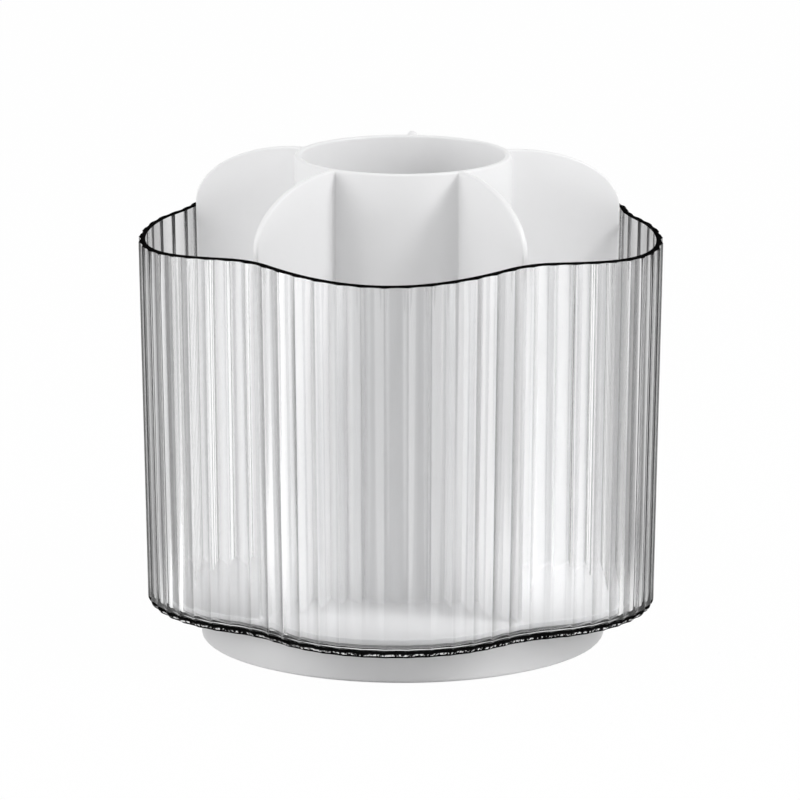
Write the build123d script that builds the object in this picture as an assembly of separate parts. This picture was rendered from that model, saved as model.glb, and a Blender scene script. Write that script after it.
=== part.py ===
from build123d import *
import os
from math import atan2, cos, hypot, pi, radians, sin, sqrt, tan

# Rotating makeup organizer, in millimetres.
# The origin is the centre of the underside, on the turning axis, and one petal points along -Y.

# Petal plan, measured on the cup's inner wall at the rim
petal_count = 5
petal_radius = 45.2
petal_offset = 31.7
valley_radius = 39.0

# Clear cup
cup_height = 111.8
cup_wall = 2.2
cup_draft = 1.07
cup_floor = 2.2
cup_corner = 3.0
cup_inner_corner = 2.0
flutes_per_petal = 14
flute_depth = 0.85
ridge_slack = 0.05
rim_wave = 1.17
rim_wave_steps = 10

# White divider
divider_rise = 22.35
divider_floor = 1.8
divider_edge_gap = 0.7
divider_root_round = 1.2
divider_well_round = 2.0
tube_radius = 32.1
tube_wall = 2.0
tube_draft = 0.3
fin_thickness = 2.0
fin_edge_gap = 2.3
fin_corner_drop = 19.0
divider_pad_radius = 5.0
divider_pad_height = 1.6
divider_pad_circle = 54.0

# Base dish and its feet
base_radius = 60.2
base_wall = 2.0
base_floor = 2.0
base_edge_round = 0.8
base_boss_radius = 12.0
base_boss_height = 1.8
base_top_gap = 0.6
foot_stand = 0.8
foot_sink = 0.8
foot_radius = 6.0
foot_inset = 4.0
foot_side_gap = 0.15
foot_chamfer = 0.2
centre_foot_radius = 10.0
round_share = 0.45

# Ball bearing
ball_count = 12
ball_radius = 2.0
ball_circle = 41.0
ball_play = 0.05
race_width = 6.0
race_thickness = 1.2
race_groove_depth = 0.4
race_side_gap = 0.2
race_rib = 1.3
race_rib_below_face = 0.2
cage_width = 5.4
cage_thickness = 2.0
cage_hole_gap = 0.1

# Turntable
turntable_plate = 2.8
turntable_edge_gap = 1.2
turntable_skirt_wall = 1.8
turntable_skirt_drop = 1.6
hub_radius = 9.5
hub_pocket_radius = 8.0
hub_pocket_depth = 2.3
gasket_height = 0.8
gasket_width = 8.0
gasket_inset = 2.5
rib_count = 10
rib_thickness = 1.4
rib_height = 1.0
rib_root = 0.6

# Pivot
pin_radius = 3.0
pin_flange_radius = 7.0
pin_flange_height = 1.2
pin_tip = 0.6
pin_groove_depth = 0.75
pin_chamfer = 0.4
bush_wall = 1.5
bush_flange_radius = 6.5
bush_flange_height = 0.8
bush_lift = 0.3
running_gap = 0.05
seat_gap = 0.02
washer_radius = 6.5
washer_height = 0.6
washer_play = 0.1
clip_height = 0.7
clip_radius = 5.4
clip_grip = 0.45

# Cup screws
screw_circle = 26.0
screw_length = 8.0
screw_radius = 1.4
screw_head_radius = 3.4
screw_head_height = 1.0
screw_head_chamfer = 0.3
screw_tip_space = 0.8
screw_hole_gap = 0.3
screw_drive_width = 0.9
screw_drive_length = 3.8
screw_drive_depth = 0.5
screw_boss_radius = 3.8
screw_boss_floor = 0.8

# Heights that stack up from the table
petal_step = 2 * pi / petal_count
dish_under_z = foot_stand
dish_floor_z = dish_under_z + base_floor
lower_race_z = dish_floor_z
ball_z = lower_race_z + race_thickness - race_groove_depth + ball_radius
upper_race_z = ball_z + ball_radius - race_groove_depth
plate_under_z = upper_race_z + race_thickness
plate_top_z = plate_under_z + turntable_plate
cup_under_z = plate_top_z + gasket_height
cup_floor_z = cup_under_z + cup_floor
rim_z = cup_under_z + cup_height
uncut_rim_z = rim_z + 2 * rim_wave
divider_under_z = cup_floor_z + divider_pad_height
divider_floor_z = divider_under_z + divider_floor
divider_top_z = rim_z + divider_rise
boss_top_z = dish_floor_z + base_boss_height
flange_top_z = dish_under_z + foot_sink + pin_flange_height
bush_under_z = boss_top_z + bush_lift
hub_under_z = bush_under_z + bush_flange_height
pocket_floor_z = plate_top_z - hub_pocket_depth
washer_z = pocket_floor_z + washer_play
clip_z = washer_z + washer_height + running_gap

# Radii that follow from others
dish_inner_radius = base_radius - base_wall
plate_radius = dish_inner_radius - turntable_edge_gap
race_inner_radius = ball_circle - race_width / 2
race_outer_radius = ball_circle + race_width / 2
groove_radius = ball_radius + ball_play
bush_radius = pin_radius + running_gap + bush_wall
foot_circle = base_radius - foot_inset - foot_radius


def petal_valley_centre():
    """Distance from the axis to the centre of the concave arc between two petals."""
    half = petal_step / 2
    reach = petal_radius + valley_radius
    return petal_offset * cos(half) + sqrt(reach**2 - (petal_offset * sin(half)) ** 2)


def petal_turn():
    """Angle, at the petal's centre, from its tip to where the concave arc takes over."""
    half = petal_step / 2
    centre = petal_valley_centre()
    return atan2(centre * sin(half), centre * cos(half) - petal_offset)


def wall_shift(z):
    """How far the drafted wall stands inside its place at the rim, at height z."""
    return (rim_z - z) * tan(radians(cup_draft))


def outline_point(share, grow):
    """Point on the petal outline, offset by grow.

    share runs from -0.5 to 0.5 over one petal, from valley to valley, in equal steps along the
    outer ridges at the rim. The petal points along +X.
    """
    turn = petal_turn()
    half = petal_step / 2
    tip_arc = (petal_radius + cup_wall) * turn
    valley_arc = (valley_radius - cup_wall) * (turn - half)
    run = abs(share) * 2 * (tip_arc + valley_arc)
    side = 1 if share >= 0 else -1
    if run <= tip_arc:
        angle = run / (petal_radius + cup_wall)
        x = petal_offset + (petal_radius + grow) * cos(angle)
        y = (petal_radius + grow) * sin(angle)
    else:
        angle = turn - (run - tip_arc) / (valley_radius - cup_wall)
        centre = petal_valley_centre()
        x = centre * cos(half) - (valley_radius - grow) * cos(angle)
        y = centre * sin(half) - (valley_radius - grow) * sin(angle)
    return x, side * y


def place_in_petal(point, petal, z):
    """Turn a point of the petal along +X into its own petal and lift it to height z."""
    angle = petal * petal_step - pi / 2
    x, y = point
    return Vector(x * cos(angle) - y * sin(angle), x * sin(angle) + y * cos(angle), z)


def smooth_outline(grow, z):
    """Face with the petal outline, offset by grow, at height z."""
    tip_arc = (petal_radius + cup_wall) * petal_turn()
    valley_arc = (valley_radius - cup_wall) * (petal_turn() - petal_step / 2)
    join = tip_arc / (tip_arc + valley_arc) / 2
    edges = []
    for petal in range(petal_count):
        start = place_in_petal(outline_point(-join, grow), petal, z)
        tip = place_in_petal(outline_point(0, grow), petal, z)
        end = place_in_petal(outline_point(join, grow), petal, z)
        valley = place_in_petal(outline_point(0.5, grow), petal, z)
        after = place_in_petal(outline_point(-join, grow), petal + 1, z)
        edges.append(Edge.make_three_point_arc(start, tip, end))
        edges.append(Edge.make_three_point_arc(end, valley, after))
    return Face(Wire(edges))


def fluted_outline(grow, z):
    """Face with the petal outline, hollowed by shallow flutes that meet at ridges on it."""
    edges = []
    for petal in range(petal_count):
        for flute in range(flutes_per_petal):
            shares = [(flute + step) / flutes_per_petal for step in (0, 0.5, 1)]
            points = []
            for share, depth in zip(shares, (0, flute_depth, 0)):
                over = share > 0.5
                near = outline_point(share - 1 if over else share, grow - depth)
                points.append(place_in_petal(near, petal + 1 if over else petal, z))
            edges.append(Edge.make_three_point_arc(*points))
    return Face(Wire(edges))


def drafted(outline, grow, low, high):
    """Solid between two heights whose side leans outwards with the cup's draft."""
    lower = outline(grow - wall_shift(low), low)
    upper = outline(grow - wall_shift(high), high)
    return Solid.make_loft([lower.outer_wire(), upper.outer_wire()], ruled=True)


def ring(outer, inner, low, high):
    """Flat ring about the turning axis."""
    body = Cylinder(outer, high - low, align=(Align.CENTER, Align.CENTER, Align.MIN))
    hole = Cylinder(inner, high - low, align=(Align.CENTER, Align.CENTER, Align.MIN))
    return Pos(0, 0, low) * (body - hole)


def disc(radius, low, high):
    """Plain round plate about the turning axis."""
    return Pos(0, 0, low) * Cylinder(radius, high - low, align=(Align.CENTER, Align.CENTER, Align.MIN))


def petal_angles(shift=0.0):
    """Directions of the petals in degrees, turned by a share of the step between them."""
    return [-90 + (petal + shift) * 360 / petal_count for petal in range(petal_count)]


def around(shape, angles, radius):
    """Copies of a shape at a radius, one for each direction in degrees."""
    return [Rot(0, 0, angle) * (Pos(radius, 0, 0) * shape) for angle in angles]


def radial_ribs(inner, outer, low, high, shift):
    """Thin straight ribs from one radius to another, with their ends inside what they join."""
    length = outer - inner + 2 * rib_root
    rib = Box(length, rib_thickness, high - low, align=(Align.MIN, Align.CENTER, Align.MIN))
    angles = [-90 + (turn + shift) * 360 / rib_count for turn in range(rib_count)]
    return around(Pos(0, 0, low) * rib, angles, inner - rib_root)


def ball_track():
    """Round tunnel in which the balls run."""
    return Torus(ball_circle, groove_radius).moved(Location((0, 0, ball_z)))


def base_dish():
    """Open white dish that stands on the table and holds the bearing."""
    wall_top_z = cup_under_z - base_top_gap
    dish = disc(base_radius, dish_under_z, wall_top_z)
    dish -= disc(dish_inner_radius, dish_floor_z, wall_top_z)
    edges = dish.edges().filter_by(GeomType.CIRCLE)
    outer = edges.filter_by(lambda edge: abs(edge.radius - base_radius) < base_wall / 2)
    dish = fillet(outer, min(base_edge_round, base_wall * round_share))
    dish += disc(base_boss_radius, dish_floor_z, boss_top_z)
    rib_top = lower_race_z + race_thickness - race_rib_below_face
    rib_outer = race_inner_radius - race_side_gap
    rib_inner = rib_outer - race_rib
    dish += ring(rib_outer, rib_inner, dish_floor_z, rib_top)
    stiffener_top = min(dish_floor_z + rib_height, rib_top)
    for rib in radial_ribs(base_boss_radius, rib_inner, dish_floor_z, stiffener_top, 0):
        dish += rib
    foot_ceiling = dish_under_z + foot_sink
    pocket = disc(foot_radius + foot_side_gap, dish_under_z, foot_ceiling)
    for cut in around(pocket, petal_angles(), foot_circle):
        dish -= cut
    dish -= disc(centre_foot_radius + foot_side_gap, dish_under_z, foot_ceiling)
    dish -= disc(pin_flange_radius + seat_gap, foot_ceiling, flange_top_z)
    return dish - disc(pin_radius + seat_gap, flange_top_z, boss_top_z)


def foot(radius):
    """Rubber foot that fills its pocket in the dish and stands proud of it."""
    pad = disc(radius, 0, foot_stand + foot_sink)
    return chamfer(pad.edges().group_by(Axis.Z)[0], min(foot_chamfer, foot_stand * round_share))


def race(low):
    """Steel ring with a shallow groove for the balls."""
    return ring(race_outer_radius, race_inner_radius, low, low + race_thickness) - ball_track()


def ball_directions():
    return [-90 + turn * 360 / ball_count for turn in range(ball_count)]


def ball_cage():
    """Flat ring with one round window for each ball."""
    low = ball_z - cage_thickness / 2
    cage = ring(ball_circle + cage_width / 2, ball_circle - cage_width / 2, low, low + cage_thickness)
    window = Cylinder(ball_radius + cage_hole_gap, cage_thickness * 2)
    for cut in around(Pos(0, 0, ball_z) * window, ball_directions(), ball_circle):
        cage -= cut
    return cage


def bearing_ball(direction):
    return around(Pos(0, 0, ball_z) * Sphere(ball_radius), [direction], ball_circle)[0]


def pivot_pin():
    """Flanged steel pin, grooved near its top for the clip."""
    low = dish_under_z + foot_sink
    top = clip_z + clip_height + running_gap + pin_tip
    shaft = disc(pin_radius, low, top)
    shaft = chamfer(shaft.edges().group_by(Axis.Z)[-1], min(pin_chamfer, pin_tip - running_gap))
    pin = disc(pin_flange_radius, low, flange_top_z) + shaft
    groove_top = clip_z + clip_height + running_gap
    return pin - ring(pin_flange_radius, pin_radius - pin_groove_depth, clip_z - running_gap, groove_top)


def thrust_washer():
    return ring(washer_radius, pin_radius + running_gap, washer_z, washer_z + washer_height)


def retaining_clip():
    """Open spring clip that sits in the pin's groove."""
    inner = pin_radius - pin_groove_depth + running_gap
    clip = ring(clip_radius, inner, clip_z, clip_z + clip_height)
    mouth = 2 * (pin_radius - pin_groove_depth - clip_grip)
    slot = Box(mouth, clip_radius, clip_height, align=(Align.CENTER, Align.MIN, Align.MIN))
    return clip - Pos(0, 0, clip_z) * slot


def turntable():
    """Turning plate inside the dish, with hub, race rib, skirt and screw bosses."""
    plate = disc(plate_radius, plate_under_z, plate_top_z)
    skirt_inner = plate_radius - turntable_skirt_wall
    plate += ring(plate_radius, skirt_inner, plate_under_z - turntable_skirt_drop, plate_under_z)
    plate += disc(hub_radius, hub_under_z, plate_under_z)
    rib_outer = race_inner_radius - race_side_gap
    rib_inner = rib_outer - race_rib
    rib_low = upper_race_z + race_rib_below_face
    plate += ring(rib_outer, rib_inner, rib_low, plate_under_z)
    stiffener_low = max(plate_under_z - rib_height, rib_low)
    for rib in radial_ribs(hub_radius, rib_inner, stiffener_low, plate_under_z, 0.5):
        plate += rib
    hole_low = cup_floor_z - screw_length - screw_tip_space
    boss = disc(screw_boss_radius, hole_low - screw_boss_floor, cup_under_z)
    for part in around(boss, petal_angles(), screw_circle):
        plate += part
    hole = disc(screw_radius + seat_gap, hole_low, cup_under_z)
    for cut in around(hole, petal_angles(), screw_circle):
        plate -= cut
    plate -= disc(hub_pocket_radius, pocket_floor_z, plate_top_z)
    return plate - disc(bush_radius + seat_gap, hub_under_z, plate_top_z)


def hub_bush():
    """Flanged bush in the hub, running on the pin."""
    sleeve = disc(bush_radius, hub_under_z, pocket_floor_z)
    bush = disc(bush_flange_radius, bush_under_z, hub_under_z) + sleeve
    return bush - disc(pin_radius + running_gap, bush_under_z, pocket_floor_z)


def gasket_ring():
    """Foam ring between the turntable and the cup's floor."""
    outer = plate_radius - gasket_inset
    return ring(outer, outer - gasket_width, plate_top_z, cup_under_z)


def rim_curve(radius):
    """Closed line at the rim's height, lowest at the petals' tips and highest at the valleys."""
    steps = petal_count * rim_wave_steps
    points = []
    for step in range(steps):
        angle = step * 2 * pi / steps
        place = radius * cos(angle - pi / 2), radius * sin(angle - pi / 2)
        points.append(Vector(*place, rim_z - rim_wave * cos(petal_count * angle)))
    return Edge.make_spline(points, periodic=True)


def above_rim():
    """Ring over the cup's wall whose underside is the wavy rim."""
    valley = petal_valley_centre() - valley_radius
    under = Face.make_surface_from_curves(
        rim_curve(valley - cup_wall * 2),
        rim_curve(petal_offset + petal_radius + cup_wall * 2),
    )
    return Solid.extrude(under, Vector(0, 0, 4 * rim_wave))


def cup():
    """Clear fluted cup with a wavy rim, a smooth inside and a rounded lower corner."""
    fluted = drafted(fluted_outline, cup_wall, cup_under_z, uncut_rim_z)
    rounded = drafted(smooth_outline, cup_wall + ridge_slack, cup_under_z, uncut_rim_z)
    rounded = fillet(rounded.edges().group_by(Axis.Z)[0], cup_corner)
    inside = drafted(smooth_outline, 0, cup_floor_z, uncut_rim_z)
    inside = fillet(inside.edges().group_by(Axis.Z)[0], cup_inner_corner)
    shell = (Part() + fluted) & rounded
    shell -= inside
    shell -= above_rim()
    hole = disc(screw_radius + screw_hole_gap, cup_under_z, cup_floor_z)
    for cut in around(hole, petal_angles(), screw_circle):
        shell -= cut
    return shell


def cup_screws():
    """Flat-headed screws that hold the cup down, as one group."""
    head_top = cup_floor_z + screw_head_height
    head = disc(screw_head_radius, cup_floor_z, head_top)
    head_edge = head.edges().group_by(Axis.Z)[-1]
    head = chamfer(head_edge, min(screw_head_chamfer, screw_head_height * round_share))
    screw = head + disc(screw_radius, cup_floor_z - screw_length, cup_floor_z)
    drive = Pos(0, 0, head_top) * Box(screw_drive_length, screw_drive_width, screw_drive_depth * 2)
    screw -= drive
    screw -= Rot(0, 0, 90) * drive
    return Compound(children=around(screw, petal_angles(), screw_circle))


def fin_profile():
    """Side view of one fin, from the tube outwards, with a swept outer corner."""
    valley = petal_valley_centre() - valley_radius
    high = divider_top_z - fin_corner_drop
    edge_low = valley - wall_shift(divider_floor_z) - fin_edge_gap
    edge_high = valley - wall_shift(high) - fin_edge_gap
    sweep = edge_high - tube_radius
    root = tube_radius - tube_wall / 2
    low = divider_under_z + divider_floor / 2
    with BuildSketch(Plane.XZ) as profile:
        with BuildLine():
            Line((root, low), (edge_low, low))
            Line((edge_low, low), (edge_high, high))
            EllipticalCenterArc((tube_radius, high), sweep, fin_corner_drop, arc_size=90)
            Line((tube_radius, divider_top_z), (root, divider_top_z))
            Line((root, divider_top_z), (root, low))
        make_face()
    return profile.sketch


def well_edges(body):
    """Edge where the tube's inside meets the floor of its well."""
    low = body.edges().filter_by_position(Axis.Z, divider_floor_z - seat_gap, divider_floor_z + seat_gap)
    return low.filter_by(GeomType.CIRCLE).filter_by(lambda edge: edge.radius < tube_radius)


def round_roots(body):
    """The divider with soft roots where its tube and fins rise from the floor and meet."""
    tall = divider_top_z - divider_floor_z
    fin_end = petal_valley_centre() - valley_radius - wall_shift(divider_floor_z) - fin_edge_gap
    beyond_fin = fin_end + (fin_edge_gap - divider_edge_gap) / 2
    roots = []
    for edge in body.edges():
        start, middle, end = edge.position_at(0), edge.position_at(0.5), edge.position_at(1)
        reach = hypot(middle.X, middle.Y)
        on_floor = max(abs(point.Z - divider_floor_z) for point in (start, middle, end)) < seat_gap
        upright = abs(start.Z - end.Z) > tall / 2 and reach < tube_radius + fin_thickness
        if upright or (on_floor and tube_radius < reach < beyond_fin):
            roots.append(edge)
    body = fillet(roots, divider_root_round)
    return fillet(well_edges(body), divider_well_round)


def divider():
    """White moulding: petal floor, central tube and one fin towards each valley."""
    floor_grow = -wall_shift(divider_under_z) - divider_edge_gap
    floor = extrude(smooth_outline(floor_grow, divider_under_z), divider_floor, dir=(0, 0, 1))
    tall = divider_top_z - divider_floor_z
    spread = tall * tan(radians(tube_draft))
    outside = Cone(tube_radius + spread, tube_radius, tall, align=(Align.CENTER, Align.CENTER, Align.MIN))
    bore = tube_radius - tube_wall
    inside = Cone(bore - spread, bore, tall, align=(Align.CENTER, Align.CENTER, Align.MIN))
    fin = extrude(fin_profile(), fin_thickness / 2, both=True)
    body = Part() + floor + Pos(0, 0, divider_floor_z) * outside
    for part in around(fin, petal_angles(0.5), 0):
        body += part
    body -= Pos(0, 0, divider_floor_z) * inside
    return round_roots(body)


def divider_pad(direction):
    """Soft pad between the divider's floor and the cup's floor."""
    pad = disc(divider_pad_radius, cup_floor_z, divider_under_z)
    return around(pad, [direction], divider_pad_circle)[0]


def all_parts():
    """Every node of the organizer by name."""
    parts = {
        "base_dish": base_dish(),
        "foot_centre": foot(centre_foot_radius),
        "lower_race": race(lower_race_z),
        "pivot_pin": pivot_pin(),
        "thrust_washer": thrust_washer(),
        "retaining_clip": retaining_clip(),
        "ball_cage": ball_cage(),
        "turntable": turntable(),
        "hub_bush": hub_bush(),
        "upper_race": race(upper_race_z),
        "gasket_ring": gasket_ring(),
        "cup": cup(),
        "cup_screws": cup_screws(),
        "divider": divider(),
    }
    for number, direction in enumerate(petal_angles(), start=1):
        parts[f"foot_{number}"] = around(foot(foot_radius), [direction], foot_circle)[0]
        parts[f"divider_pad_{number}"] = divider_pad(direction)
    for number, direction in enumerate(ball_directions(), start=1):
        parts[f"bearing_ball_{number:02d}"] = bearing_ball(direction)
    return parts


os.makedirs("parts", exist_ok=True)
for name, shape in all_parts().items():
    export_step(shape, f"parts/{name}.step")
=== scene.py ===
from math import asin, atan2, cos, hypot, pi, radians, sin, sqrt, tan

import bmesh
import bpy
from bpy.props import FloatProperty, FloatVectorProperty, IntProperty, PointerProperty
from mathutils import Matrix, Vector
from mathutils.geometry import delaunay_2d_cdt


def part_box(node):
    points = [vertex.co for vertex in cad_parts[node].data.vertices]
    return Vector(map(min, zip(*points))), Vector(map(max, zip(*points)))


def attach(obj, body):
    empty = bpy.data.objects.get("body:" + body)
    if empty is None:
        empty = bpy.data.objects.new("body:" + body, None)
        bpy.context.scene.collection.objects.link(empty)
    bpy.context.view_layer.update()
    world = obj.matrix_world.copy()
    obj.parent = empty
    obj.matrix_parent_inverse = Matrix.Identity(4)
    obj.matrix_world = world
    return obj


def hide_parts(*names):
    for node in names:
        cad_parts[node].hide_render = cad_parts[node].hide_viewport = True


bl_info = {
    "name": "Rotating makeup organizer",
    "version": (1, 0, 0),
    "blender": (4, 5, 0),
    "location": "View3D > Sidebar > Organizer",
    "description": "Builds the looks of a petal-shaped organizer round its packed frame",
    "category": "Object",
}

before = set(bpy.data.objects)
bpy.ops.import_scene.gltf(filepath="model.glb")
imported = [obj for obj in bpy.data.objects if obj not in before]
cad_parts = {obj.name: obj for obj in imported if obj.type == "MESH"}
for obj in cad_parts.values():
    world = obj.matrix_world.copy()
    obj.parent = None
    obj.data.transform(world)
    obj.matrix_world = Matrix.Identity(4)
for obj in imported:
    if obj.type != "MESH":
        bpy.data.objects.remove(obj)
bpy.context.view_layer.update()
CUP_LOW, CUP_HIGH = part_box("cup")
DIVIDER_LOW, DIVIDER_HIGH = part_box("divider")
PETALS = 5
PETAL_STEP = 2 * pi / PETALS
HALF_STEP = PETAL_STEP / 2
FRONT = -pi / 2


def LengthProperty(name, description, default):
    """A size in metres."""
    return FloatProperty(name=name, description=description, default=default, unit="LENGTH")


def AngleProperty(name, description, degrees):
    """An angle, with its default given in degrees."""
    return FloatProperty(name=name, description=description, default=radians(degrees), subtype="ANGLE")


def ColourProperty(name, description, default):
    """A colour, as linear red, green and blue from 0 to 1."""
    return FloatVectorProperty(
        name=name, description=description, default=default, subtype="COLOR", min=0, max=1
    )


class CupSizes(bpy.types.PropertyGroup):
    """Sizes and colour of the clear cup, in metres."""

    petal_radius: LengthProperty("Petal radius", "Inner wall's radius round a petal", 0.0452)
    petal_offset: LengthProperty("Petal offset", "From the axis to a petal's centre", 0.0317)
    valley_radius: LengthProperty("Valley radius", "Inner wall's radius between petals", 0.039)
    wall: LengthProperty("Wall", "Wall at the ridges", 0.0022)
    floor: LengthProperty("Floor", "Thickness of the floor", 0.0022)
    draft: AngleProperty("Draft", "Outward lean of the wall", 1.07)
    corner: LengthProperty("Corner", "Lower outer corner", 0.003)
    inner_corner: LengthProperty("Inner corner", "Lower inner corner", 0.002)
    flutes: IntProperty(name="Flutes", description="Flutes in each petal", default=14, min=1)
    flute_depth: LengthProperty("Flute depth", "Depth at a flute's middle", 0.00085)
    rim_wave: LengthProperty("Rim wave", "Half the rise from a petal's tip to a valley", 0.00117)
    rim_round: LengthProperty("Rim rounding", "Edges of the rim", 0.00035)
    # The dark rim is painted shade: a black finish in place of the dark look of the clear edge.
    rim_line: LengthProperty("Rim line", "How far the dark rim reaches down outside", 0.00022)
    ridge_cut: LengthProperty("Ridge cut", "How far the ridges are taken back along the rim", 0.00045)
    screw_hole: LengthProperty("Screw hole", "Radius of a hole in the floor", 0.0017)
    screw_circle: LengthProperty("Screw circle", "From the axis to a screw", 0.026)
    smoke: FloatProperty(
        name="Smoke", description="Strength of the dimming along a way through the plastic", default=70.0
    )
    tint: ColourProperty("Tint", "Colour of the plastic's surface", (0.985, 0.987, 0.99))
    # Painted shade: the plastic's colour is darker where it is seen at a slant.
    painted_slant_shade: ColourProperty(
        "Slant tint", "Colour where the plastic is seen along its surface", (0.3, 0.3, 0.302)
    )
    passed: ColourProperty(
        "Passed light", "Share of a lamp's light that passes each face", (0.85, 0.85, 0.85)
    )
    taken: ColourProperty(
        "Depth colour", "Colour that long ways through the plastic keep", (0.5, 0.5, 0.505)
    )


class DividerSizes(bpy.types.PropertyGroup):
    """Sizes and colour of the white divider, in metres."""

    tube_radius: LengthProperty("Tube radius", "Outside of the tube at its top", 0.0321)
    tube_wall: LengthProperty("Tube wall", "Wall at the top", 0.002)
    tube_draft: AngleProperty("Tube draft", "Taper of the tube", 0.3)
    floor: LengthProperty("Floor", "Thickness of the floor", 0.0018)
    edge_gap: LengthProperty("Edge gap", "From the floor to the cup's wall", 0.0007)
    fin: LengthProperty("Fin", "Thickness of a fin", 0.002)
    fin_gap: LengthProperty("Fin gap", "From a fin to the cup's wall", 0.0023)
    drop: LengthProperty("Corner drop", "Height of a fin's swept corner", 0.019)
    edge_round: LengthProperty("Edge rounding", "Fins and rim", 0.0007)
    floor_round: LengthProperty("Floor rounding", "Edge of the floor", 0.0003)
    root_round: LengthProperty("Root rounding", "Where walls rise from the floor", 0.0012)
    join_round: LengthProperty("Join rounding", "Where a fin meets the tube", 0.0005)
    join_foot: LengthProperty("Join at the floor", "Its rounding at the floor", 0.0014)
    join_spread: LengthProperty("Join spread", "Height over which the join widens", 0.012)
    well_round: LengthProperty("Well rounding", "Floor of the tube's well", 0.002)
    colour: ColourProperty("Colour", "White moulding", (0.86, 0.86, 0.865))
    pad: ColourProperty("Pads", "Foam of the pads", (0.6, 0.6, 0.6))


class BaseSizes(bpy.types.PropertyGroup):
    """Colours of the base and of what it holds."""

    # Darker than the divider's white: painted shade, set low so the base looks shaded under the cup.
    colour: ColourProperty("Base", "White base dish", (0.77, 0.77, 0.775))
    rubber: ColourProperty("Rubber", "Feet", (0.06, 0.06, 0.063))
    foam: ColourProperty("Foam", "Gasket", (0.09, 0.09, 0.095))
    steel: ColourProperty("Steel", "Races, pin and screws", (0.6, 0.6, 0.61))
    nylon: ColourProperty("Nylon", "Cage and washer", (0.78, 0.76, 0.69))
    bush: ColourProperty("Bush", "Hub bush", (0.035, 0.035, 0.037))


class StageSizes(bpy.types.PropertyGroup):
    """Camera, floor and light."""

    distance: LengthProperty("Distance", "From the camera to the axis", 2.0)
    elevation: AngleProperty("Elevation", "Camera above the horizon", 12.72)
    azimuth: AngleProperty("Azimuth", "Camera turned towards +X", 3.9)
    lens: FloatProperty(name="Lens", description="Focal length in millimetres", default=302.4)
    aim_height: LengthProperty("Aim height", "Where the camera's turn is centred", 0.075)
    aim_left: LengthProperty("Aim left", "How far left of the axis the camera looks", 0.00083)
    aim_down: LengthProperty("Aim down", "How far below that height it looks", 0.00323)
    floor_size: LengthProperty("Floor size", "Side of the square floor", 8.0)
    floor_colour: ColourProperty("Floor colour", "Matt floor", (0.9, 0.9, 0.9))
    floor_glow: FloatProperty(
        name="Floor glow", description="Share of plain white in what is seen of the floor", default=0.985
    )
    shadow_reach: LengthProperty(
        "Shadow reach", "Radius of the patch under the base where the floor has no glow", 0.0574
    )
    shadow_edge: LengthProperty("Shadow edge", "Width over which that patch ends", 0.0008)
    # The cards are the floor's painted reflections, sectors that glow only for glossy rays.
    reflection_near: LengthProperty("Card near", "From the axis to where the cards begin", 0.1)
    reflection_full: LengthProperty("Card full", "From the axis to where the cards are at full strength", 0.19)
    room: FloatProperty(name="Room light", description="Strength of the light from around", default=0.74)
    ceiling: FloatProperty(name="Ceiling", description="Strength of the light from above", default=0.38)
    left: FloatProperty(name="Left", description="Power of the lamp on the left", default=6.8)
    right: FloatProperty(name="Right", description="Power of the lamp on the right", default=9.0)


class Plan:
    """The cup's petal outline, seen from above."""

    def __init__(self, cup):
        self.cup = cup
        reach = cup.petal_radius + cup.valley_radius
        along = cup.petal_offset * cos(HALF_STEP)
        self.valley_centre = along + sqrt(reach**2 - (cup.petal_offset * sin(HALF_STEP)) ** 2)
        self.turn = atan2(
            self.valley_centre * sin(HALF_STEP), self.valley_centre * cos(HALF_STEP) - cup.petal_offset
        )
        self.tip_arc = (cup.petal_radius + cup.wall) * self.turn
        self.valley_arc = (cup.valley_radius - cup.wall) * (self.turn - HALF_STEP)

    def point(self, petal, share, grow):
        """Point of a petal's outline, offset by grow; share runs from -0.5 to 0.5 over the petal."""
        cup = self.cup
        run = abs(share) * 2 * (self.tip_arc + self.valley_arc)
        if run <= self.tip_arc:
            angle = run / (cup.petal_radius + cup.wall)
            x = cup.petal_offset + (cup.petal_radius + grow) * cos(angle)
            y = (cup.petal_radius + grow) * sin(angle)
        else:
            angle = self.turn - (run - self.tip_arc) / (cup.valley_radius - cup.wall)
            x = self.valley_centre * cos(HALF_STEP) - (cup.valley_radius - grow) * cos(angle)
            y = self.valley_centre * sin(HALF_STEP) - (cup.valley_radius - grow) * sin(angle)
        if share < 0:
            y = -y
        turn = FRONT + petal * PETAL_STEP
        return x * cos(turn) - y * sin(turn), x * sin(turn) + y * cos(turn)

    def valley(self):
        """Distance from the axis to the inner wall at a valley, at the rim."""
        return self.valley_centre - self.cup.valley_radius


def arc_steps(count):
    """Angles from 0 to a quarter turn, both ends included."""
    return [step * pi / 2 / count for step in range(count + 1)]


def rounding(radius, count):
    """Points of a quarter round, as their distances from the two sides of its corner."""
    return [(radius * (1 - cos(angle)), radius * (1 - sin(angle))) for angle in arc_steps(count)]


def at_angles(radius, angles, z):
    """Points at these angles round the axis, at one radius and height."""
    return [(radius * cos(angle), radius * sin(angle), z) for angle in angles]


def bearing(vert):
    """Angle of a vertex round the axis."""
    return atan2(vert.co.y, vert.co.x)


def add_loop(bm, points):
    """New vertices at these points, in order."""
    return [bm.verts.new(point) for point in points]


def bridge(bm, low, high, finish=0):
    """Four-sided faces of one finish between two closed rows of as many vertices."""
    count = len(low)
    for step in range(count):
        after = (step + 1) % count
        bm.faces.new((low[step], low[after], high[after], high[step])).material_index = finish


def inside_loop(x, y, loop):
    """True if a point lies inside a closed loop of vertices, seen from above."""
    inside = False
    before = loop[-1].co
    for vert in loop:
        here = vert.co
        if (here.y > y) != (before.y > y):
            if x < (before.x - here.x) * (y - here.y) / (before.y - here.y) + here.x:
                inside = not inside
        before = here
    return inside


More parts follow.
